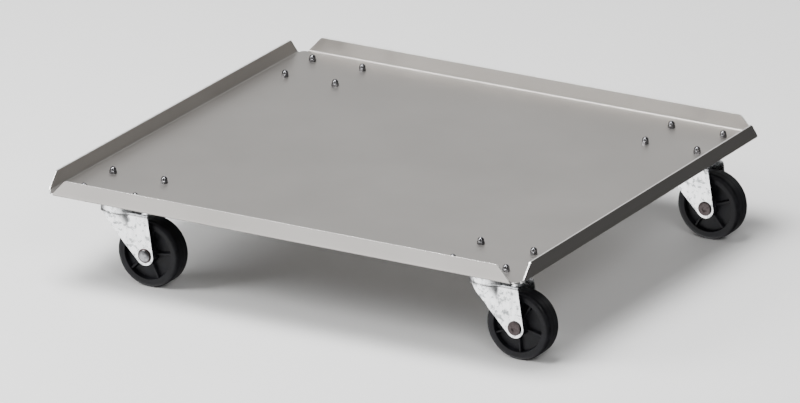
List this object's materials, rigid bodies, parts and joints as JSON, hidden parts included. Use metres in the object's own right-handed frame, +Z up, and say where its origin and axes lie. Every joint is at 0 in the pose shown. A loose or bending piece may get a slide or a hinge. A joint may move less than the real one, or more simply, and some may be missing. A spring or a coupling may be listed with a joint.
{
  "type": "drum dolly",
  "caption": "Low square drum dolly: a folded sheet-steel tray with four upturned lips and cut corners, carried on free-turning swivel plate casters with black wheels.",
  "frame": {"origin": "centre of the tray floor's top face, on which a drum stands", "axes": "+Z up; +X right, the way every caster trails at rest; +Y back; the wheels' axles lie along Y"},
  "size_m": [0.6213, 0.61, 0.1299],
  "materials": {
    "tray_sheet": "satin mill finish",
    "zinc_plated_steel": "bright zinc plate",
    "dull_zinc": "dull zinc plate",
    "polished_steel": "polished",
    "bright_rivet": "bright rivet, darker on its flat end",
    "bright_nut": "bright chrome",
    "black_plastic": "moulded, satin"
  },
  "bodies": {
    "root": {"tray": "tray_sheet", "front_left_top_plate": "zinc_plated_steel", "front_left_kingpin": "dull_zinc", "front_left_upper_balls": "polished_steel", "front_left_lower_balls": "polished_steel", "front_left_race_cup": "zinc_plated_steel", "front_left_bolts": "dull_zinc", "front_left_washers": "zinc_plated_steel", "front_left_cap_nuts": "bright_nut", "front_right_top_plate": "zinc_plated_steel", "front_right_kingpin": "dull_zinc", "front_right_upper_balls": "polished_steel", "front_right_lower_balls": "polished_steel", "front_right_race_cup": "zinc_plated_steel", "front_right_bolts": "dull_zinc", "front_right_washers": "zinc_plated_steel", "front_right_cap_nuts": "bright_nut", "back_left_top_plate": "zinc_plated_steel", "back_left_kingpin": "dull_zinc", "back_left_upper_balls": "polished_steel", "back_left_lower_balls": "polished_steel", "back_left_race_cup": "zinc_plated_steel", "back_left_bolts": "dull_zinc", "back_left_washers": "zinc_plated_steel", "back_left_cap_nuts": "bright_nut", "back_right_top_plate": "zinc_plated_steel", "back_right_kingpin": "dull_zinc", "back_right_upper_balls": "polished_steel", "back_right_lower_balls": "polished_steel", "back_right_race_cup": "zinc_plated_steel", "back_right_bolts": "dull_zinc", "back_right_washers": "zinc_plated_steel", "back_right_cap_nuts": "bright_nut"},
    "front_left_caster": {"front_left_fork": "zinc_plated_steel", "front_left_axle": "bright_rivet", "front_left_sleeve": "dull_zinc", "front_left_side_washers": "dull_zinc"},
    "front_left_roller": {"front_left_wheel": "black_plastic"},
    "front_right_caster": {"front_right_fork": "zinc_plated_steel", "front_right_axle": "bright_rivet", "front_right_sleeve": "dull_zinc", "front_right_side_washers": "dull_zinc"},
    "front_right_roller": {"front_right_wheel": "black_plastic"},
    "back_left_caster": {"back_left_fork": "zinc_plated_steel", "back_left_axle": "bright_rivet", "back_left_sleeve": "dull_zinc", "back_left_side_washers": "dull_zinc"},
    "back_left_roller": {"back_left_wheel": "black_plastic"},
    "back_right_caster": {"back_right_fork": "zinc_plated_steel", "back_right_axle": "bright_rivet", "back_right_sleeve": "dull_zinc", "back_right_side_washers": "dull_zinc"},
    "back_right_roller": {"back_right_wheel": "black_plastic"}
  },
  "joints": [
    {"name": "front_left_swivel", "type": "hinge", "parent": "root", "child": "front_left_caster", "pos_m": [-0.2375, -0.2375, -0.0229], "axis": [0, 0, 1], "continuous": true},
    {"name": "front_left_roll", "type": "hinge", "parent": "front_left_caster", "child": "front_left_roller", "pos_m": [-0.1987, -0.2375, -0.0709], "axis": [0, 1, 0], "continuous": true},
    {"name": "front_right_swivel", "type": "hinge", "parent": "root", "child": "front_right_caster", "pos_m": [0.2375, -0.2375, -0.0229], "axis": [0, 0, 1], "continuous": true},
    {"name": "front_right_roll", "type": "hinge", "parent": "front_right_caster", "child": "front_right_roller", "pos_m": [0.2763, -0.2375, -0.0709], "axis": [0, 1, 0], "continuous": true},
    {"name": "back_left_swivel", "type": "hinge", "parent": "root", "child": "back_left_caster", "pos_m": [-0.2375, 0.2375, -0.0229], "axis": [0, 0, 1], "continuous": true},
    {"name": "back_left_roll", "type": "hinge", "parent": "back_left_caster", "child": "back_left_roller", "pos_m": [-0.1987, 0.2375, -0.0709], "axis": [0, 1, 0], "continuous": true},
    {"name": "back_right_swivel", "type": "hinge", "parent": "root", "child": "back_right_caster", "pos_m": [0.2375, 0.2375, -0.0229], "axis": [0, 0, 1], "continuous": true},
    {"name": "back_right_roll", "type": "hinge", "parent": "back_right_caster", "child": "back_right_roller", "pos_m": [0.2763, 0.2375, -0.0709], "axis": [0, 1, 0], "continuous": true}
  ]
}
